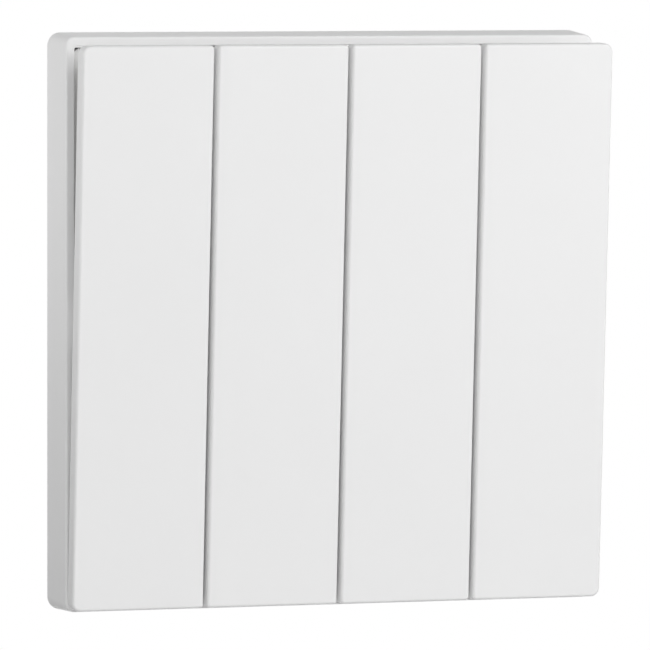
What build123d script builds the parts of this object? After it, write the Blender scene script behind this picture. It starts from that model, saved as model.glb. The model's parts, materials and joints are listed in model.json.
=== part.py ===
from build123d import *
from math import cos, radians, sin, tan
import os

# A four-gang wall switch for a square wall box: four full-height rocker keys in a slim frame.
# Every piece is drawn lying on its back, in millimetres: X runs across the plate, Y up the plate
# and Z out of the wall, from the wall's own face. hang() then stands the finished piece on the
# wall: X across, Z up, and the front towards -Y.

# Rocker keys
gang_count = 4
key_width = 20.77
key_height = 84.0
key_drop = 0.35
key_gap = 0.64
key_depth = 2.1
key_face_wall = 1.3
key_side_wall = 1.2
key_edge_radius = 0.45
key_outer_corner = 1.3
key_corner_ease = 0.05
face_height = 12.0
key_tilt = 3.2

# Key hinge
pin_radius = 1.5
pin_clearance = 0.05
leg_thickness = 1.6
leg_root_width = 8.0
leg_margin = 3.7
leg_clearance = 0.3
cheek_thickness = 1.6
cheek_gap = 0.25
cheek_wall = 1.3
cheek_snap = 0.5

# Key ribs
rib_thickness = 1.0
rib_offset = 3.2
rib_drop = 1.8
rib_crown = 20.0
rib_reach = 60.0

# Frame
key_side_margin = 0.5
key_end_margin = 1.0
rim_width = 1.4
frame_draft = 0.6
frame_corner = 2.0
opening_corner = 0.5
frame_edge_radius = 0.4
opening_edge_radius = 0.2
key_clearance = 1.0
pry_slot_width = 8.0
pry_slot_height = 1.4

# Chassis and the catches that hold the frame
chassis_gap = 0.25
chassis_thickness = 2.2
chassis_corner = 1.2
rail_thickness = 1.0
rail_height = 3.0
catch_spacing = 44.0
catch_width = 7.6
catch_nose = 0.65
catch_height = 1.3
catch_clearance = 0.15
window_clearance = 0.6
back_pocket_depth = 0.9
back_rib = 2.0

# Fixing slots for the wall box
fixing_spacing = 60.3
fixing_slot_width = 4.4
fixing_slot_length = 6.0
fixing_seat = 1.3
fixing_seat_depth = 0.5

# Actuator boss, spring and plunger in each key
boss_width = 3.6
boss_length = 5.4
boss_margin = 0.17
boss_foot = 1.2
tube_wall = 0.6
tube_end = -9.5
bore_radius = 1.1
bore_top = 3.0
plunger_clearance = 0.1
plunger_top = -4.5
spigot_radius = 0.45
spigot_length = 1.2
spring_wire = 0.4
spring_clearance = 0.15
spring_turns = 5
seat_clearance = 0.05

# See-saw contact blade
blade_pivot = -13.3
blade_width = 2.6
blade_thickness = 0.9
blade_reach = 10.5
blade_ratio = 1.5
notch_depth = 0.35
notch_half_angle = 50.0
knife_half_angle = 30.0
knife_clearance = 0.1
nose_clearance = 0.2
contact_inset = 1.2
contact_radius = 1.3
contact_head = 0.7
contact_chamfer = 0.3
contact_shank = 0.6
contact_clearance = 0.12

# Rear housing
housing_depth = 25.0
housing_wall = 1.2
housing_floor = 2.6
housing_corner = 2.0
housing_edge_radius = 0.8
tube_side_clearance = 0.3
partition_thickness = 1.4
bay_end_clearance = 3.9
cross_wall_thickness = 1.2
stop_thickness = 1.4
stop_clearance = 0.2
strip_slot_clearance = 0.25

# Terminals and their screws
strip_width = 3.0
strip_thickness = 1.0
tunnel_width = 5.4
tunnel_length = 8.0
tunnel_height = 5.6
tunnel_wall = 0.9
tunnel_gap = 0.8
tunnel_inner_gap = 1.4
wire_entry = 3.8
screw_radius = 1.5
screw_clearance = 0.05
screw_head_radius = 2.5
screw_head_height = 1.8
screw_reach = 3.0
screw_slot_width = 0.8
screw_slot_depth = 0.8
screw_hole_clearance = 0.4

# Screws that hold the housing to the chassis
pillar_radius = 3.5
pillar_seat = -8.0
fixer_radius = 1.3
fixer_clearance = 0.12
fixer_head_radius = 2.2
fixer_head_height = 1.6
fixer_reach = 3.2
fixer_boss_radius = 3.0
fixer_boss_height = 2.2

# What follows from those sizes
key_pitch = key_width + key_gap
block_width = gang_count * key_pitch - key_gap
plate_width = block_width + 2 * key_side_margin
plate_height = key_height + 2 * key_end_margin
key_inner_corner = key_edge_radius + key_corner_ease
leg_offset = key_width / 2 - leg_margin
pivot_height = chassis_thickness + leg_clearance + pin_radius
tilt = radians(key_tilt)
blade_tilt = key_tilt * blade_ratio
swing = radians(blade_tilt)
key_rear = face_height - key_depth
key_bottom = -key_height / 2 - key_drop
lowest_key_edge = (
    pivot_height + (key_rear - pivot_height) * cos(tilt) + key_bottom * sin(tilt)
)
frame_depth = lowest_key_edge - key_clearance
front_width = plate_width - 2 * frame_draft
front_height = plate_height - 2 * frame_draft
opening_width = front_width - 2 * rim_width
opening_height = front_height - 2 * rim_width
chassis_width = opening_width - 2 * chassis_gap
chassis_height = opening_height - 2 * chassis_gap
rail_top = chassis_thickness + rail_height
catch_top = rail_top - catch_clearance
outer_actuator = (
    (gang_count / 2 - 1) * key_pitch + key_gap / 2 + boss_margin + boss_width / 2
)
actuator_pitch = 2 * outer_actuator / (gang_count - 1)
tube_radius = bore_radius + tube_wall
bay_half_width = outer_actuator + tube_radius + tube_side_clearance
housing_width = 2 * (bay_half_width + housing_wall)
floor_z = housing_floor - housing_depth
contact_reach = blade_reach - contact_inset
bay_end = blade_reach + bay_end_clearance
tunnel_near = bay_end + cross_wall_thickness + tunnel_inner_gap
tunnel_far = tunnel_near + tunnel_length
terminal_y = tunnel_far - tunnel_length / 2
chamber_end = tunnel_far + tunnel_gap
housing_height = 2 * (chamber_end + housing_wall)
plunger_radius = bore_radius - plunger_clearance


def hang(shape):
    """Stand a piece that was drawn on its back up on the wall."""
    return Plane.XZ.location * shape


def save(name, *solids):
    piece = hang(solids[0]) if len(solids) == 1 else Compound([hang(s) for s in solids])
    export_step(piece, f"parts/{name}.step")


def gang_side(gang):
    """-1 in the left half of the plate, 1 in the right half."""
    return -1 if gang < gang_count / 2 else 1


def key_centre(gang):
    return (gang - (gang_count - 1) / 2) * key_pitch


def actuator_x(gang):
    return (gang - (gang_count - 1) / 2) * actuator_pitch


def terminal_x(gang):
    """A terminal's outer side is flush with its strip, so it stands a little further in."""
    return actuator_x(gang) - gang_side(gang) * (tunnel_width - strip_width) / 2


def leg_x(gang):
    return key_centre(gang) + gang_side(gang) * leg_offset


def slab(x, y, width, height, low, high):
    """A rectangle centred on x, y and raised from low to high."""
    return extrude(Pos(x, y, low) * Rectangle(width, height), amount=high - low)


def post(x, y, radius, low, high):
    return extrude(Pos(x, y, low) * Circle(radius), amount=high - low)


def crosswise(profile, x, width):
    """A profile drawn in Y and Z, given its width along X about x."""
    return extrude(Plane.YZ.offset(x - width / 2) * profile, amount=width)


def turned(shape, height, angle):
    """Turn a piece about the X axis at a height; a positive angle brings its top outwards."""
    return Pos(0, 0, height) * Rot(X=angle) * Pos(0, 0, -height) * shape


def tilted(shape):
    """The photographed pose of a key: top out, bottom in."""
    return turned(shape, pivot_height, key_tilt)


# The frame: a ring with its top and sides leaning in and its bottom straight, its front edges
# eased, with pockets inside for the chassis catches.
def make_frame():
    back = RectangleRounded(plate_width, plate_height, frame_corner)
    front = RectangleRounded(front_width, plate_height - frame_draft, frame_corner - frame_draft)
    front = Pos(0, -frame_draft / 2, frame_depth) * front
    ring = loft([back.face(), front.face()], ruled=True)
    ring = fillet(ring.faces().sort_by(Axis.Z)[-1].outer_wire().edges(), frame_edge_radius)
    opening = RectangleRounded(opening_width, opening_height, opening_corner)
    ring -= extrude(opening, amount=frame_depth)
    lip = ring.faces().sort_by(Axis.Z)[-1].inner_wires()[0]
    ring = fillet(lip.edges(), opening_edge_radius)
    reach = catch_nose - chassis_gap + catch_clearance
    low = catch_top - catch_height - catch_clearance
    high = catch_top + catch_clearance
    for x, y, along in catch_places():
        span = catch_width + 2 * catch_clearance
        if along:
            ring -= slab(x, y, span, 2 * reach, low, high)
        else:
            ring -= slab(x, y, 2 * reach, span, low, high)
    pry_y = -(plate_height + opening_height) / 4
    ring -= slab(0, pry_y, pry_slot_width, plate_height - opening_height, 0, pry_slot_height)
    return ring


def catch_places():
    """Two catches on each side of the opening; along is true where the side runs along X."""
    places = []
    for offset in (-catch_spacing / 2, catch_spacing / 2):
        for side in (-1, 1):
            places.append((offset, side * opening_height / 2, True))
            places.append((side * opening_width / 2, offset, False))
    return places


# The chassis: the plate that is screwed to the wall box and carries the keys' bearings.
def make_chassis():
    outline = RectangleRounded(chassis_width, chassis_height, chassis_corner)
    plate = extrude(outline, amount=chassis_thickness)
    rail = outline - offset(outline, amount=-rail_thickness)
    plate += extrude(Pos(0, 0, chassis_thickness) * rail, amount=rail_height)
    for x, y, along in catch_places():
        plate += catch(x, y, along)
    for x, y in pillar_places():
        plate += post(x, y, fixer_boss_radius, chassis_thickness, chassis_thickness + fixer_boss_height)
    for gang in range(gang_count):
        plate -= slab(
            actuator_x(gang),
            0,
            boss_width + 2 * window_clearance,
            boss_length + 2 * window_clearance,
            0,
            rail_top,
        )
    for gang in range(gang_count):
        inward = -gang_side(gang)
        step = boss_width / 2 + cheek_gap + cheek_thickness / 2
        plate += cheek(actuator_x(gang) + inward * step)
        step = leg_thickness / 2 + cheek_gap + cheek_thickness / 2
        plate += cheek(leg_x(gang) + inward * step)
    for x in (-fixing_spacing / 2, fixing_spacing / 2):
        slot = SlotOverall(fixing_slot_length, fixing_slot_width)
        plate -= extrude(Pos(x, 0, 0) * slot, amount=chassis_thickness)
        seat = SlotOverall(fixing_slot_length + 2 * fixing_seat, fixing_slot_width + 2 * fixing_seat)
        plate -= extrude(Pos(x, 0, chassis_thickness) * seat, amount=-fixing_seat_depth)
    for x, y in pillar_places():
        plate -= post(x, y, fixer_radius + fixer_clearance, 0, fixer_reach + fixer_clearance)
    for x, y, width, height in back_pockets():
        plate -= slab(x, y, width, height, 0, back_pocket_depth)
    return plate


def catch(x, y, along):
    """A wedge nose on the chassis rail that springs into the frame's pocket."""
    root = -chassis_gap - rail_thickness / 2
    tip = catch_nose - chassis_gap
    top = catch_top
    wedge = Polygon(
        (root, top - catch_height),
        (tip, top - catch_height),
        (tip, top - catch_height / 2),
        (-chassis_gap, top),
        (root, top),
        align=None,
    )
    nose = extrude(Plane.XZ.offset(-catch_width / 2) * wedge, amount=catch_width)
    if along:
        turn = 90 if y > 0 else -90
    else:
        turn = 0 if x > 0 else 180
    return Pos(x, y, 0) * Rot(Z=turn) * nose


def cheek(x):
    """A bearing for one hinge pin, open at the front so that the pin snaps in."""
    eye_radius = pin_radius + pin_clearance
    width = 2 * (eye_radius + cheek_wall)
    mouth = 2 * pin_radius - cheek_snap
    top = pivot_height + eye_radius + cheek_wall / 2
    profile = Pos(0, (top + chassis_thickness) / 2) * Rectangle(width, top - chassis_thickness)
    profile -= Pos(0, pivot_height) * Circle(eye_radius)
    profile -= Pos(0, (top + pivot_height) / 2) * Rectangle(mouth, top - pivot_height)
    return crosswise(profile, x, cheek_thickness)


def pillar_places():
    """Four places, each midway between the terminals of the two outer gangs on its side."""
    x = (terminal_x(0) + terminal_x(1)) / 2
    return [(sx * x, sy * terminal_y) for sx in (-1, 1) for sy in (-1, 1)]


def back_pockets():
    """Shallow recesses that keep the back of the plate one even wall, clear of the housing."""
    inner_x = housing_width / 2 + back_rib
    inner_y = housing_height / 2 + back_rib
    outer_x = chassis_width / 2 - back_rib
    outer_y = chassis_height / 2 - back_rib
    clear_y = fixing_slot_width / 2 + fixing_seat + back_rib
    column = (2 * outer_x + back_rib) / gang_count
    pockets = []
    for side in (-1, 1):
        for gang in range(gang_count):
            x = (gang - (gang_count - 1) / 2) * column
            pockets.append((x, side * (inner_y + outer_y) / 2, column - back_rib, outer_y - inner_y))
        for flank in (-1, 1):
            height = inner_y - back_rib - clear_y
            y = side * (clear_y + height / 2)
            pockets.append((flank * (inner_x + outer_x) / 2, y, outer_x - inner_x, height))
    return pockets


# A rocker key: a shallow cap with an actuator boss, a hinge leg and two stiffening ribs behind it.
def make_key(gang):
    x = key_centre(gang)
    side = gang_side(gang)
    outline = Pos(x, -key_drop, key_rear) * key_outline(gang)
    cap = extrude(outline, amount=key_depth)
    cap = fillet(cap.faces().sort_by(Axis.Z)[-1].edges(), key_edge_radius)
    hollow_depth = key_depth - key_face_wall
    ceiling = key_rear + hollow_depth
    hollow_width = key_width - 2 * key_side_wall
    hollow_height = key_height - 2 * key_side_wall
    cap -= slab(x, -key_drop, hollow_width, hollow_height, key_rear, ceiling)
    for offset_x in (-rib_offset, rib_offset):
        rib = Polygon(
            (-rib_reach / 2, ceiling),
            (-rib_crown / 2, ceiling - rib_drop),
            (rib_crown / 2, ceiling - rib_drop),
            (rib_reach / 2, ceiling),
            align=None,
        )
        cap += crosswise(rib, x + offset_x, rib_thickness)
    cap += slab(actuator_x(gang), 0, boss_width, boss_length, boss_foot, ceiling)
    cap += post(actuator_x(gang), 0, tube_radius, tube_end, boss_foot)
    cap -= post(actuator_x(gang), 0, bore_radius, tube_end, bore_top)
    cap += hinge_pin(actuator_x(gang) - side * boss_width / 2, -side)
    leg = Polygon(
        (-leg_root_width / 2, ceiling),
        (-pin_radius, pivot_height),
        (pin_radius, pivot_height),
        (leg_root_width / 2, ceiling),
        align=None,
    )
    leg += Pos(0, pivot_height) * Circle(pin_radius)
    cap += crosswise(leg, leg_x(gang), leg_thickness)
    cap += hinge_pin(leg_x(gang) - side * leg_thickness / 2, -side)
    return tilted(cap)


def key_outline(gang):
    """The key's front outline; the corners at the ends of the row are rounder than the rest."""
    outline = Rectangle(key_width, key_height)
    for side in (-1, 1):
        at_end = gang == (0 if side < 0 else gang_count - 1)
        corners = outline.vertices().group_by(Axis.X)[0 if side < 0 else -1]
        outline = fillet(corners, key_outer_corner if at_end else key_inner_corner)
    return outline


def hinge_pin(x, direction):
    """A pin that starts on a face at x and reaches through its cheek."""
    length = cheek_gap + cheek_thickness
    low = x if direction > 0 else x - length
    return extrude(Plane.YZ.offset(low) * (Pos(0, pivot_height) * Circle(pin_radius)), amount=length)


def nose_centre():
    """Height of the plunger's round nose, with the key level, that just clears the tilted blade."""
    across = sin(swing)
    ahead = cos(swing)
    need = blade_thickness - notch_depth + plunger_radius + nose_clearance
    span = (ahead * (pivot_height - blade_pivot) - need) / (ahead * cos(tilt) - across * sin(tilt))
    return pivot_height - span


def make_plunger(gang):
    nose = nose_centre()
    body = Rectangle(plunger_radius, plunger_top - nose)
    body = Pos(plunger_radius / 2, (plunger_top + nose) / 2) * body
    spigot_y = plunger_top + spigot_length / 2
    spigot = Pos(spigot_radius / 2, spigot_y) * Rectangle(spigot_radius, spigot_length)
    tip = Pos(0, nose) * Circle(plunger_radius)
    tip &= Pos(plunger_radius / 2, nose - plunger_radius / 2) * Rectangle(plunger_radius, plunger_radius)
    profile = Plane.XZ * (body + spigot + tip)
    plunger = revolve(profile, axis=Axis.Z)
    return tilted(Pos(actuator_x(gang), 0, 0) * plunger)


def make_spring(gang):
    radius = bore_radius - spring_clearance - spring_wire / 2
    low = plunger_top + seat_clearance + spring_wire / 2
    high = bore_top - seat_clearance - spring_wire / 2
    path = Helix(pitch=(high - low) / spring_turns, height=high - low, radius=radius)
    section = Plane(origin=path @ 0, z_dir=path % 0) * Rectangle(spring_wire, spring_wire)
    coil = sweep(section, path=path, is_frenet=True)
    return tilted(Pos(actuator_x(gang), 0, low) * coil)


# The see-saw blade rocks on a knife edge; its lower end carries the moving contact.
def make_blade(gang):
    rear = -notch_depth
    half_notch = notch_depth * tan(radians(notch_half_angle))
    profile = Polygon(
        (-blade_reach, rear),
        (-half_notch, rear),
        (0, 0),
        (half_notch, rear),
        (blade_reach, rear),
        (blade_reach, rear + blade_thickness),
        (-blade_reach, rear + blade_thickness),
        align=None,
    )
    blade = crosswise(profile, 0, blade_width)
    rounded = blade.edges().filter_by(Axis.Z)
    blade = fillet(rounded, blade_width / 3)
    hole = contact_shank + seat_clearance
    blade -= post(0, -contact_reach, hole, rear, rear + blade_thickness)
    return rocked(blade, gang)


def make_moving_contact(gang):
    rear = -notch_depth
    rivet = post(0, -contact_reach, contact_radius, rear - contact_head, rear)
    rivet = chamfer(rivet.edges().sort_by(Axis.Z)[0], contact_chamfer)
    rivet += post(0, -contact_reach, contact_shank, rear, rear + blade_thickness)
    return rocked(rivet, gang)


def rocked(shape, gang):
    """A blade at rest leans the other way from its key: its upper end is in."""
    return Pos(actuator_x(gang), 0, blade_pivot) * Rot(X=-blade_tilt) * shape


# Fixed contacts stand where the moving contacts arrive when a key's top is pressed.
def closed_contact():
    tip = -notch_depth - contact_head
    y = -contact_reach * cos(swing) - tip * sin(swing)
    z = -contact_reach * sin(swing) + tip * cos(swing)
    return y, blade_pivot + z


def ledge_top():
    return closed_contact()[1] - contact_clearance - contact_head - contact_radius * sin(swing)


def make_fixed_contact(gang):
    y = closed_contact()[0]
    top = ledge_top()
    rivet = post(actuator_x(gang), y, contact_radius, top, top + contact_head)
    rivet = chamfer(rivet.edges().sort_by(Axis.Z)[-1], contact_chamfer)
    rivet += post(actuator_x(gang), y, contact_shank, top - strip_thickness, top)
    return rivet


# Brass terminals: a strip folded into a wire tunnel at one end.
def tunnel(gang, side):
    """The wire tunnel of a terminal, at the top (side 1) or the bottom (side -1)."""
    outer = Rectangle(tunnel_width, tunnel_height)
    inner = Rectangle(tunnel_width - 2 * tunnel_wall, tunnel_height - 2 * tunnel_wall)
    middle = floor_z + tunnel_height / 2
    start = max(side * tunnel_near, side * tunnel_far)
    ring = Plane.XZ.offset(-start) * (Pos(terminal_x(gang), middle) * (outer - inner))
    clamp = extrude(ring, amount=tunnel_length)
    hole = screw_radius + screw_clearance
    clamp -= post(terminal_x(gang), side * terminal_y, hole, floor_z, floor_z + tunnel_wall)
    return clamp


def make_common_terminal(gang):
    tip = blade_pivot - knife_clearance
    half = strip_thickness / 2
    shoulder = tip - half / tan(radians(knife_half_angle))
    profile = Polygon(
        (-half, floor_z),
        (tunnel_near, floor_z),
        (tunnel_near, floor_z + strip_thickness),
        (half, floor_z + strip_thickness),
        (half, shoulder),
        (0, tip),
        (-half, shoulder),
        align=None,
    )
    return crosswise(profile, actuator_x(gang), strip_width) + tunnel(gang, 1)


def make_load_terminal(gang):
    contact_y = closed_contact()[0]
    near = contact_y + contact_radius
    riser = contact_y - contact_radius - strip_thickness
    top = ledge_top()
    profile = Polygon(
        (-tunnel_near, floor_z),
        (riser + strip_thickness, floor_z),
        (riser + strip_thickness, top - strip_thickness),
        (near, top - strip_thickness),
        (near, top),
        (riser, top),
        (riser, floor_z + strip_thickness),
        (-tunnel_near, floor_z + strip_thickness),
        align=None,
    )
    strip = crosswise(profile, actuator_x(gang), strip_width)
    hole = contact_shank + seat_clearance
    strip -= post(actuator_x(gang), contact_y, hole, top - strip_thickness, top)
    return strip + tunnel(gang, -1)


def make_terminal_screw(gang, side):
    x = terminal_x(gang)
    y = side * terminal_y
    under = floor_z - screw_head_height
    screw = post(x, y, screw_head_radius, under, floor_z)
    screw += post(x, y, screw_radius, floor_z, floor_z + screw_reach)
    return screw - slab(x, y, screw_slot_width, 2 * screw_head_radius, under, under + screw_slot_depth)


# The rear housing: an open box with a bay for each gang, terminal chambers and screw pillars.
def make_housing():
    outline = RectangleRounded(housing_width, housing_height, housing_corner)
    box = extrude(Pos(0, 0, -housing_depth) * outline, amount=housing_depth)
    rear = box.faces().sort_by(Axis.Z)[0]
    box = fillet(rear.edges(), housing_edge_radius)
    cavity_corner = housing_corner - housing_wall
    cavity = RectangleRounded(2 * bay_half_width, 2 * chamber_end, cavity_corner)
    box -= extrude(Pos(0, 0, floor_z) * cavity, amount=-floor_z)
    for gang in range(1, gang_count):
        x = (gang - gang_count / 2) * actuator_pitch
        box += slab(x, 0, partition_thickness, 2 * chamber_end, floor_z, 0)
    for side in (-1, 1):
        y = side * (bay_end + cross_wall_thickness / 2)
        box += slab(0, y, 2 * bay_half_width, cross_wall_thickness, floor_z, 0)
    box += slab(0, stop_y(), 2 * bay_half_width, stop_thickness, floor_z, stop_top())
    for gang in range(gang_count):
        box -= slab(
            actuator_x(gang),
            0,
            strip_width + 2 * strip_slot_clearance,
            2 * tunnel_near,
            floor_z,
            floor_z + strip_thickness + strip_slot_clearance,
        )
        for side in (-1, 1):
            hole = screw_head_radius + screw_hole_clearance
            box -= post(terminal_x(gang), side * terminal_y, hole, -housing_depth, floor_z)
            box -= wire_slot(gang, side)
    for x, y in pillar_places():
        box += post(x, y, pillar_radius, floor_z, 0)
        box -= post(x, y, fixer_head_radius + screw_hole_clearance, -housing_depth, pillar_seat)
        box -= post(x, y, fixer_radius + fixer_clearance, pillar_seat, 0)
    return box


def stop_y():
    return blade_reach - stop_thickness / 2


def stop_top():
    """The blade's upper end comes to rest on this rib."""
    low = -blade_reach * sin(swing) - notch_depth * cos(swing)
    return blade_pivot + low - stop_clearance


def wire_slot(gang, side):
    """A square way in for one wire, in line with its tunnel."""
    middle = floor_z + tunnel_height / 2
    start = max(side * chamber_end, side * housing_height / 2)
    opening = Pos(terminal_x(gang), middle) * Rectangle(wire_entry, wire_entry)
    return extrude(Plane.XZ.offset(-start) * opening, amount=housing_wall)


def make_housing_screw(x, y):
    head_low = pillar_seat - fixer_head_height
    screw = post(x, y, fixer_head_radius, head_low, pillar_seat)
    screw += post(x, y, fixer_radius, pillar_seat, fixer_reach)
    slot_top = head_low + screw_slot_depth
    return screw - slab(x, y, screw_slot_width, 2 * fixer_head_radius, head_low, slot_top)


os.makedirs("parts", exist_ok=True)
gangs = range(gang_count)
save("front_frame", make_frame())
save("chassis", make_chassis())
save("rear_housing", make_housing())
save("terminal_screws", *[make_terminal_screw(g, side) for g in gangs for side in (-1, 1)])
save("housing_screws", *[make_housing_screw(x, y) for x, y in pillar_places()])
save("fixed_contacts", *[make_fixed_contact(g) for g in gangs])
for gang in gangs:
    number = gang + 1
    save(f"rocker_key_{number}", make_key(gang))
    save(f"plunger_{number}", make_plunger(gang))
    save(f"plunger_spring_{number}", make_spring(gang))
    save(f"contact_blade_{number}", make_blade(gang))
    save(f"moving_contact_{number}", make_moving_contact(gang))
    save(f"common_terminal_{number}", make_common_terminal(gang))
    save(f"load_terminal_{number}", make_load_terminal(gang))
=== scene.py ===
import json
import math

import bmesh
import bpy
from mathutils import Matrix, Quaternion, Vector


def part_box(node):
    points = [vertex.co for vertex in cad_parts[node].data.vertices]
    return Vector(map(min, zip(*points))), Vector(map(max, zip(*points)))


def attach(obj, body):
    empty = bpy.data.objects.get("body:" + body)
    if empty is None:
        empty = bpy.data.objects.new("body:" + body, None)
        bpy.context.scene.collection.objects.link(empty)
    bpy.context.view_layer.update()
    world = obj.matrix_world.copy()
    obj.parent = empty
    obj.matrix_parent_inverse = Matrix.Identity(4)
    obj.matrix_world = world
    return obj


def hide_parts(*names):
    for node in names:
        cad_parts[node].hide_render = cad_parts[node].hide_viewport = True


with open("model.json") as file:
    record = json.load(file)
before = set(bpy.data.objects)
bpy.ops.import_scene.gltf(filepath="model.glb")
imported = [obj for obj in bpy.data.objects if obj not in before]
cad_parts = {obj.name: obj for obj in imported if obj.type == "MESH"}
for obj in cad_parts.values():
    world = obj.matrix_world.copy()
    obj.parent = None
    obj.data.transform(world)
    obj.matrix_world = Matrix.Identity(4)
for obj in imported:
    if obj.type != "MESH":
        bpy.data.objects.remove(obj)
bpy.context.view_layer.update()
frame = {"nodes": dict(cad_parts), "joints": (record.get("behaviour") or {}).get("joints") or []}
gangs = range(1, 5)


# Rear housing: the box behind the plate that goes into the wall and holds the contact bays. It is
# moulded in one piece from a light grey plastic, and four screws hold it to the chassis.
noise_low = 0.3
noise_high = 0.7


def object_noise(material, scale, detail, stretch=(1.0, 1.0, 1.0)):
    """Noise that stays fixed to the piece; scale counts its lumps per metre."""
    tree = material.node_tree
    place = tree.nodes.new("ShaderNodeTexCoord")
    mapping = tree.nodes.new("ShaderNodeMapping")
    mapping.inputs["Scale"].default_value = stretch
    texture = tree.nodes.new("ShaderNodeTexNoise")
    texture.inputs["Scale"].default_value = scale
    texture.inputs["Detail"].default_value = detail
    tree.links.new(place.outputs["Object"], mapping.inputs["Vector"])
    tree.links.new(mapping.outputs["Vector"], texture.inputs["Vector"])
    return texture.outputs["Fac"]


def colour_between(material, value, dark, light):
    """Colour that wanders between two close shades as the noise does."""
    tree = material.node_tree
    ramp = tree.nodes.new("ShaderNodeValToRGB")
    ramp.color_ramp.elements[0].position = noise_low
    ramp.color_ramp.elements[0].color = (*dark, 1.0)
    ramp.color_ramp.elements[1].position = noise_high
    ramp.color_ramp.elements[1].color = (*light, 1.0)
    tree.links.new(value, ramp.inputs["Fac"])
    tree.links.new(ramp.outputs["Color"], tree.nodes["Principled BSDF"].inputs["Base Color"])


def roughness_between(material, value, smooth, rough):
    """Roughness that wanders between two values as the noise does."""
    tree = material.node_tree
    reach = tree.nodes.new("ShaderNodeMapRange")
    reach.inputs["From Min"].default_value = noise_low
    reach.inputs["From Max"].default_value = noise_high
    reach.inputs["To Min"].default_value = smooth
    reach.inputs["To Max"].default_value = rough
    tree.links.new(value, reach.inputs["Value"])
    tree.links.new(reach.outputs["Result"], tree.nodes["Principled BSDF"].inputs["Roughness"])


def raised_by(material, value, height, strength):
    """A surface that rises and falls a little with the noise."""
    tree = material.node_tree
    bump = tree.nodes.new("ShaderNodeBump")
    bump.inputs["Distance"].default_value = height
    bump.inputs["Strength"].default_value = strength
    tree.links.new(value, bump.inputs["Height"])
    tree.links.new(bump.outputs["Normal"], tree.nodes["Principled BSDF"].inputs["Normal"])


def moulded_plastic(name, dark, light, smooth, rough, grain_strength):
    """Opaque moulded plastic: barely cloudy in colour, with the fine grain of its mould."""
    material = bpy.data.materials.new(name)
    material.use_nodes = True
    material.node_tree.nodes["Principled BSDF"].inputs["IOR"].default_value = 1.49
    clouds = object_noise(material, scale=45.0, detail=3.0)
    mottle = object_noise(material, scale=900.0, detail=2.0)
    grain = object_noise(material, scale=7000.0, detail=2.0)
    colour_between(material, clouds, dark, light)
    roughness_between(material, mottle, smooth, rough)
    raised_by(material, grain, height=0.00002, strength=grain_strength)
    return material


def clothe(material, *names):
    """Give nodes of the part a material, with their shapes as they are."""
    for name in names:
        for place in frame["nodes"][name].material_slots:
            place.material = material


housing_grey = moulded_plastic(
    "housing_grey",
    dark=(0.612, 0.612, 0.602), light=(0.628, 0.628, 0.618),
    smooth=0.42, rough=0.56, grain_strength=0.25,
)
clothe(housing_grey, "rear_housing")


# Terminals and blades: brass strip, stamped and folded. Each common terminal ends in the knife
# edge that its blade rocks on, and each load terminal in the ledge under its fixed contact.
def rolled_metal(name, dark, light, smooth, rough, line_strength):
    """Bare metal strip with rolling lines along it and a little tarnish."""
    material = bpy.data.materials.new(name)
    material.use_nodes = True
    material.node_tree.nodes["Principled BSDF"].inputs["Metallic"].default_value = 1.0
    tarnish = object_noise(material, scale=260.0, detail=4.0)
    streaks = object_noise(material, scale=1500.0, detail=3.0, stretch=(1.0, 1.0, 0.08))
    lines = object_noise(material, scale=5000.0, detail=2.0, stretch=(1.0, 1.0, 0.03))
    colour_between(material, tarnish, dark, light)
    roughness_between(material, streaks, smooth, rough)
    raised_by(material, lines, height=0.00001, strength=line_strength)
    return material


brass = rolled_metal(
    "terminal_brass",
    dark=(0.66, 0.47, 0.20), light=(0.80, 0.62, 0.31),
    smooth=0.26, rough=0.44, line_strength=0.3,
)
for gang in gangs:
    clothe(brass, f"common_terminal_{gang}", f"load_terminal_{gang}", f"contact_blade_{gang}")


# Contacts: silver rivets, headed over in the blades and in the load terminals' ledges.
# Switching leaves their faces a little dull.
silver = rolled_metal(
    "contact_silver",
    dark=(0.66, 0.65, 0.62), light=(0.84, 0.83, 0.80),
    smooth=0.24, rough=0.42, line_strength=0.15,
)
clothe(silver, "fixed_contacts")
for gang in gangs:
    clothe(silver, f"moving_contact_{gang}")


# Chassis: the plate that is screwed to the wall box. It is moulded in an off-white plastic, with
# a rail and catches round its edge for the frame and an open bearing for every hinge pin.
chassis_white = moulded_plastic(
    "chassis_white",
    dark=(0.832, 0.832, 0.822), light=(0.848, 0.848, 0.838),
    smooth=0.40, rough=0.54, grain_strength=0.25,
)
clothe(chassis_white, "chassis")


# Plungers: a turned nylon pin in the tube of each key, which presses on the blade and snaps it
# over. Its round nose slides along the blade's middle.
nylon = moulded_plastic(
    "plunger_nylon",
    dark=(0.72, 0.70, 0.64), light=(0.77, 0.75, 0.70),
    smooth=0.34, rough=0.46, grain_strength=0.15,
)
for gang in gangs:
    clothe(nylon, f"plunger_{gang}")


# Springs: hard-drawn steel wire wound into a coil with both end turns closed, one in the tube of
# each key. A spring stands on its plunger's shoulder and pushes it on to the blade.
def face_outwards(shape):
    """Turn every face of a closed shape to look out of it."""
    bmesh.ops.recalc_face_normals(shape, faces=shape.faces[:])
    if shape.calc_volume(signed=True) < 0.0:
        bmesh.ops.reverse_faces(shape, faces=shape.faces[:])


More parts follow.
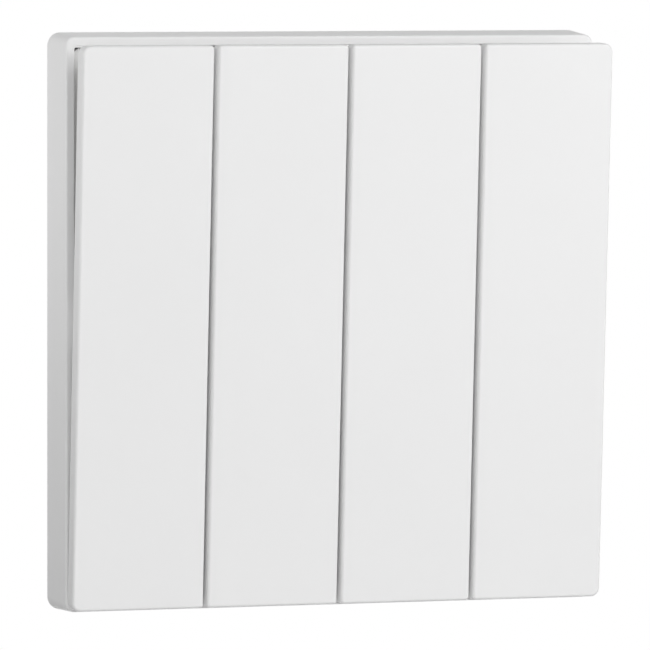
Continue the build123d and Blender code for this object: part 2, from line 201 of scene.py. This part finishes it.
def spring_coil(wire_radius, coil_radius, length, open_turns):
    """A coil of round wire about Z; its wire starts at z = 0."""
    wire_sides = 10
    steps_in_turn = 24
    closed_pitch = 2.1 * wire_radius
    open_pitch = (length - 2 * closed_pitch) / open_turns
    coil = bmesh.new()
    upright = Matrix.Translation((coil_radius, 0.0, 0.0)) @ Matrix.Rotation(math.pi / 2, 4, "X")
    bmesh.ops.create_circle(coil, segments=wire_sides, radius=wire_radius, matrix=upright)
    ring = coil.verts[:] + coil.edges[:]
    bmesh.ops.edgeloop_fill(coil, edges=coil.edges[:])
    for turns, pitch in ((1, closed_pitch), (open_turns, open_pitch), (1, closed_pitch)):
        wound = bmesh.ops.spin(
            coil, geom=ring, cent=(0.0, 0.0, 0.0), axis=(0.0, 0.0, 1.0),
            dvec=(0.0, 0.0, pitch / steps_in_turn), angle=turns * math.tau,
            steps=turns * steps_in_turn,
        )
        ring = wound["geom_last"]
    last_edges = [part for part in ring if isinstance(part, bmesh.types.BMEdge)]
    bmesh.ops.edgeloop_fill(coil, edges=last_edges)
    face_outwards(coil)
    return coil


def add_piece(name, shape, material, body, node):
    """The finished shape as a piece that rides on a body and stands for a CAD node."""
    crease = math.radians(35.0)
    data = bpy.data.meshes.new(name)
    shape.to_mesh(data)
    shape.free()
    data.shade_smooth()
    data.set_sharp_from_angle(angle=crease)
    data.materials.append(material)
    piece = bpy.data.objects.new(name, data)
    bpy.context.scene.collection.objects.link(piece)
    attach(piece, body)
    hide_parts(node)


spring_wire = rolled_metal(
    "spring_wire",
    dark=(0.46, 0.46, 0.47), light=(0.60, 0.60, 0.61),
    smooth=0.26, rough=0.40, line_strength=0.3,
)
wire_radius = 0.0002
coil_radius = 0.00075
open_turns = 4
spring_foot = 0.00425
spring_head = -0.00275
key_tilt = math.radians(3.2)
key_hinges = [joint for joint in frame["joints"] if joint["name"].startswith("key")]
for gang, joint in enumerate(key_hinges, 1):
    hinge = Vector(joint["pos_m"])
    coil = spring_coil(wire_radius, coil_radius, spring_foot - spring_head, open_turns)
    foot = Vector((0.0, spring_foot - hinge.y, 0.0))
    in_key = Matrix.Translation(foot) @ Matrix.Rotation(math.pi / 2, 4, "X")
    in_place = Matrix.Translation(hinge) @ Matrix.Rotation(key_tilt, 4, "X") @ in_key
    bmesh.ops.transform(coil, matrix=in_place, verts=coil.verts[:])
    add_piece(
        f"coil_spring_{gang}", coil, spring_wire,
        body=f"key_{gang}", node=f"plunger_spring_{gang}",
    )


# Screws: plated steel with slotted cheese heads. Eight with a fine thread clamp the wires in the
# terminals, and four with a coarse thread hold the housing to the chassis.
def slotted_head(radius, height, slot_width, slot_depth):
    """A head with an eased rim, its slotted end at z = 0 and the rest below it."""
    sides = 32
    ease = 0.12 * radius
    ease_steps = 3
    faces_up = 0.1
    within = 0.49 * slot_width
    above_floor = -0.99 * slot_depth
    weld = slot_width / 1000
    head = bmesh.new()
    middle = Matrix.Translation((0.0, 0.0, -height / 2))
    bmesh.ops.create_cone(
        head, cap_ends=True, segments=sides, radius1=radius, radius2=radius, depth=height,
        matrix=middle,
    )
    rim = [edge for edge in head.edges if min(vert.co.z for vert in edge.verts) > -height / 4]
    bmesh.ops.bevel(
        head, geom=rim, offset=ease, offset_type="OFFSET", affect="EDGES", segments=ease_steps,
        profile=0.5, material=-1,
    )
    cuts = (
        ((-slot_width / 2, 0.0, 0.0), (1.0, 0.0, 0.0)),
        ((slot_width / 2, 0.0, 0.0), (1.0, 0.0, 0.0)),
        ((0.0, 0.0, -slot_depth), (0.0, 0.0, 1.0)),
    )
    for place, normal in cuts:
        parts = head.verts[:] + head.edges[:] + head.faces[:]
        bmesh.ops.bisect_plane(head, geom=parts, plane_co=place, plane_no=normal)
    band = []
    for face in head.faces:
        if abs(face.calc_center_median().x) < within and face.normal.z > faces_up:
            band.append(face)
    sunk = bmesh.ops.extrude_face_region(head, geom=band)
    for part in sunk["geom"]:
        if isinstance(part, bmesh.types.BMVert):
            part.co.z = -slot_depth
    ends = []
    for face in head.faces:
        centre = face.calc_center_median()
        if abs(centre.x) < within and centre.z > above_floor:
            ends.append(face)
    bmesh.ops.delete(head, geom=ends, context="FACES")
    bmesh.ops.remove_doubles(head, verts=head.verts[:], dist=weld)
    face_outwards(head)
    return head


def threaded_shank(crest, root, pitch, top, tip):
    """A threaded rod about Z that is cut square at its top and tip."""
    steps_in_turn = 24
    weld = pitch / 500
    turns = math.ceil((top - tip) / pitch) + 1
    flank = ((root, 0.0), (crest, 0.4), (crest, 0.5), (root, 0.9), (root, 1.0))
    shank = bmesh.new()
    outline = [shank.verts.new((radius, 0.0, tip + (rise - 1.0) * pitch)) for radius, rise in flank]
    lines = [shank.edges.new(pair) for pair in zip(outline, outline[1:])]
    bmesh.ops.spin(
        shank, geom=outline + lines, cent=(0.0, 0.0, 0.0), axis=(0.0, 0.0, 1.0),
        dvec=(0.0, 0.0, pitch / steps_in_turn), angle=turns * math.tau, steps=turns * steps_in_turn,
    )
    bmesh.ops.remove_doubles(shank, verts=shank.verts[:], dist=weld)
    for height, outward in ((top, 1.0), (tip, -1.0)):
        parts = shank.verts[:] + shank.edges[:] + shank.faces[:]
        bmesh.ops.bisect_plane(
            shank, geom=parts, plane_co=(0.0, 0.0, height), plane_no=(0.0, 0.0, outward),
            clear_outer=True,
        )
    open_edges = [edge for edge in shank.edges if edge.is_boundary]
    bmesh.ops.holes_fill(shank, edges=open_edges, sides=0)
    bmesh.ops.remove_doubles(shank, verts=shank.verts[:], dist=weld)
    face_outwards(shank)
    return shank


def screw_set(places, *shapes):
    """Copies of a screw's shapes with its head facing the back of the switch at each place."""
    models = []
    for shape in shapes:
        models.append(bpy.data.meshes.new("screw_model"))
        shape.to_mesh(models[-1])
        shape.free()
    whole = bmesh.new()
    for place in places:
        first = len(whole.verts)
        for model in models:
            whole.from_mesh(model)
        turned = Matrix.Translation(place) @ Matrix.Rotation(-math.pi / 2, 4, "X")
        bmesh.ops.transform(whole, matrix=turned, verts=whole.verts[first:])
    for model in models:
        bpy.data.meshes.remove(model)
    return whole


def add_screws(node, name, steps_in, head_radius, head_height, crest, root, pitch):
    """Screws at the corners of a node's box, each set a step further in than the corners."""
    low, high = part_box(node)
    across = high.x - head_radius
    up = high.z - head_radius
    places = []
    for step in steps_in:
        for side in (-1, 1):
            places += [(side * (across - step), high.y, end * up) for end in (-1, 1)]
    slot_size = 0.32 * head_radius
    head = slotted_head(head_radius, head_height, slot_size, slot_size)
    shank_top = -0.9 * head_height
    shank = threaded_shank(crest, root, pitch, shank_top, low.y - high.y)
    screws = screw_set(places, head, shank)
    add_piece(name, screws, plated_steel, body="base", node=node)


plated_steel = rolled_metal(
    "plated_steel",
    dark=(0.58, 0.57, 0.53), light=(0.74, 0.73, 0.70),
    smooth=0.24, rough=0.40, line_strength=0.2,
)
actuator_pitch = key_hinges[1]["pos_m"][0] - key_hinges[0]["pos_m"][0]
add_screws(
    "terminal_screws", "clamp_screws", steps_in=(0.0, actuator_pitch),
    head_radius=0.0025, head_height=0.0018, crest=0.0015, root=0.0012, pitch=0.0005,
)
add_screws(
    "housing_screws", "fixing_screws", steps_in=(0.0,),
    head_radius=0.0022, head_height=0.0016, crest=0.0013, root=0.0010, pitch=0.0010,
)


# Keys and frame: one white plastic with a fine satin grain, moulded separately. The keys clip
# into the chassis bearings, and the frame snaps over the chassis from the front.
satin_white = moulded_plastic(
    "satin_white",
    dark=(0.90, 0.90, 0.90), light=(0.91, 0.91, 0.91),
    smooth=0.44, rough=0.52, grain_strength=0.12,
)
clothe(satin_white, "front_frame")
for gang in gangs:
    clothe(satin_white, f"rocker_key_{gang}")


# Studio: a pale floor well below the part, as the part hangs clear of everything, a white
# surround for the camera and reflections, and soft lamps. The floor is clear from below.
def seen_or_mirrored(tree):
    """One for rays from the camera, mirrors and glass, and none for the light on the part."""
    path = tree.nodes.new("ShaderNodeLightPath")
    value = path.outputs["Is Camera Ray"]
    for kind in ("Is Glossy Ray", "Is Transmission Ray"):
        either = tree.nodes.new("ShaderNodeMath")
        either.operation = "MAXIMUM"
        tree.links.new(value, either.inputs[0])
        tree.links.new(path.outputs[kind], either.inputs[1])
        value = either.outputs["Value"]
    return value


floor_height = -0.35
floor_reach = 2.5
floor_paleness = 0.7
floor_grey = (0.9, 0.9, 0.9, 1.0)
floor_roughness = 0.9
pure_white = (1.0, 1.0, 1.0, 1.0)
ambient_strength = 0.15
surround_strength = 1.0
bpy.ops.mesh.primitive_plane_add(size=2 * floor_reach, location=(0.0, 0.0, floor_height))
floor = bpy.context.object
floor.name = "studio_floor"
paint = bpy.data.materials.new("studio_paint")
paint.use_nodes = True
paint.cycles.emission_sampling = "NONE"
coat = paint.node_tree
matt = coat.nodes["Principled BSDF"]
matt.inputs["Base Color"].default_value = floor_grey
matt.inputs["Roughness"].default_value = floor_roughness
pale = coat.nodes.new("ShaderNodeEmission")
pale.inputs["Color"].default_value = pure_white
pale.inputs["Strength"].default_value = surround_strength
share = coat.nodes.new("ShaderNodeMath")
share.operation = "MULTIPLY"
share.inputs[1].default_value = floor_paleness
blend = coat.nodes.new("ShaderNodeMixShader")
coat.links.new(seen_or_mirrored(coat), share.inputs[0])
coat.links.new(share.outputs["Value"], blend.inputs["Fac"])
coat.links.new(matt.outputs["BSDF"], blend.inputs[1])
coat.links.new(pale.outputs["Emission"], blend.inputs[2])
facing = coat.nodes.new("ShaderNodeNewGeometry")
clear = coat.nodes.new("ShaderNodeBsdfTransparent")
one_sided = coat.nodes.new("ShaderNodeMixShader")
coat.links.new(facing.outputs["Backfacing"], one_sided.inputs["Fac"])
coat.links.new(blend.outputs["Shader"], one_sided.inputs[1])
coat.links.new(clear.outputs["BSDF"], one_sided.inputs[2])
coat.links.new(one_sided.outputs["Shader"], coat.nodes["Material Output"].inputs["Surface"])
floor.data.materials.append(paint)

world = bpy.data.worlds.new("studio_surround")
bpy.context.scene.world = world
world.use_nodes = True
sky = world.node_tree
sky.nodes.clear()
ambient = sky.nodes.new("ShaderNodeBackground")
ambient.inputs["Color"].default_value = pure_white
ambient.inputs["Strength"].default_value = ambient_strength
white = sky.nodes.new("ShaderNodeBackground")
white.inputs["Color"].default_value = pure_white
white.inputs["Strength"].default_value = surround_strength
mix = sky.nodes.new("ShaderNodeMixShader")
output = sky.nodes.new("ShaderNodeOutputWorld")
sky.links.new(seen_or_mirrored(sky), mix.inputs["Fac"])
sky.links.new(ambient.outputs["Background"], mix.inputs[1])
sky.links.new(white.outputs["Background"], mix.inputs[2])
sky.links.new(mix.outputs["Shader"], output.inputs["Surface"])


def soft_lamp(name, place, size, power):
    """A square lamp that faces the part."""
    lamp = bpy.data.lights.new(name, "AREA")
    lamp.shape = "SQUARE"
    lamp.size = size
    lamp.energy = power
    holder = bpy.data.objects.new(name, lamp)
    holder.location = place
    holder.rotation_mode = "QUATERNION"
    holder.rotation_quaternion = Vector(place).to_track_quat("Z", "Y")
    bpy.context.scene.collection.objects.link(holder)


soft_lamp("left_window", place=(-0.8, -1.4, 0.6), size=1.0, power=9.1)
soft_lamp("right_near_box", place=(0.35, -0.5, 0.25), size=0.35, power=1.91)
soft_lamp("right_far_box", place=(0.45, -0.8, 0.2), size=0.6, power=0.68)
soft_lamp("left_top_strip", place=(-0.12, 0.02, 0.09), size=0.08, power=0.0182)
soft_lamp("left_level_strip", place=(-0.11, 0.012, 0.03), size=0.03, power=0.0096)
soft_lamp("rear_box", place=(0.55, 1.15, -0.15), size=0.4, power=8.0)


# Camera: in front of the part, to its left and a little above, far off with a long lens. Its
# place, aim, roll and lens were fitted to the edges of the part in the photo.
image_width = 650
sensor_width = 36.0
camera_azimuth = math.radians(21.514)
camera_elevation = math.radians(2.791)
camera_roll = math.radians(0.079)
camera_distance = 1.3275
camera_aim = Vector((0.00145, 0.0, -0.00128))
focal_pixels = 8806.5
camera = bpy.data.cameras.new("photo_camera")
camera.sensor_width = sensor_width
camera.lens = sensor_width * focal_pixels / image_width
camera.clip_start = 0.01
camera.clip_end = 20.0
camera_holder = bpy.data.objects.new("photo_camera", camera)
back = Vector((
    -math.sin(camera_azimuth) * math.cos(camera_elevation),
    -math.cos(camera_azimuth) * math.cos(camera_elevation),
    math.sin(camera_elevation),
))
camera_holder.location = camera_aim + camera_distance * back
camera_holder.rotation_mode = "QUATERNION"
camera_turn = Quaternion((0, 0, 1), camera_roll)
camera_holder.rotation_quaternion = back.to_track_quat("Z", "Y") @ camera_turn
bpy.context.scene.collection.objects.link(camera_holder)
bpy.context.scene.camera = camera_holder
bpy.context.scene.view_settings.view_transform = "Standard"
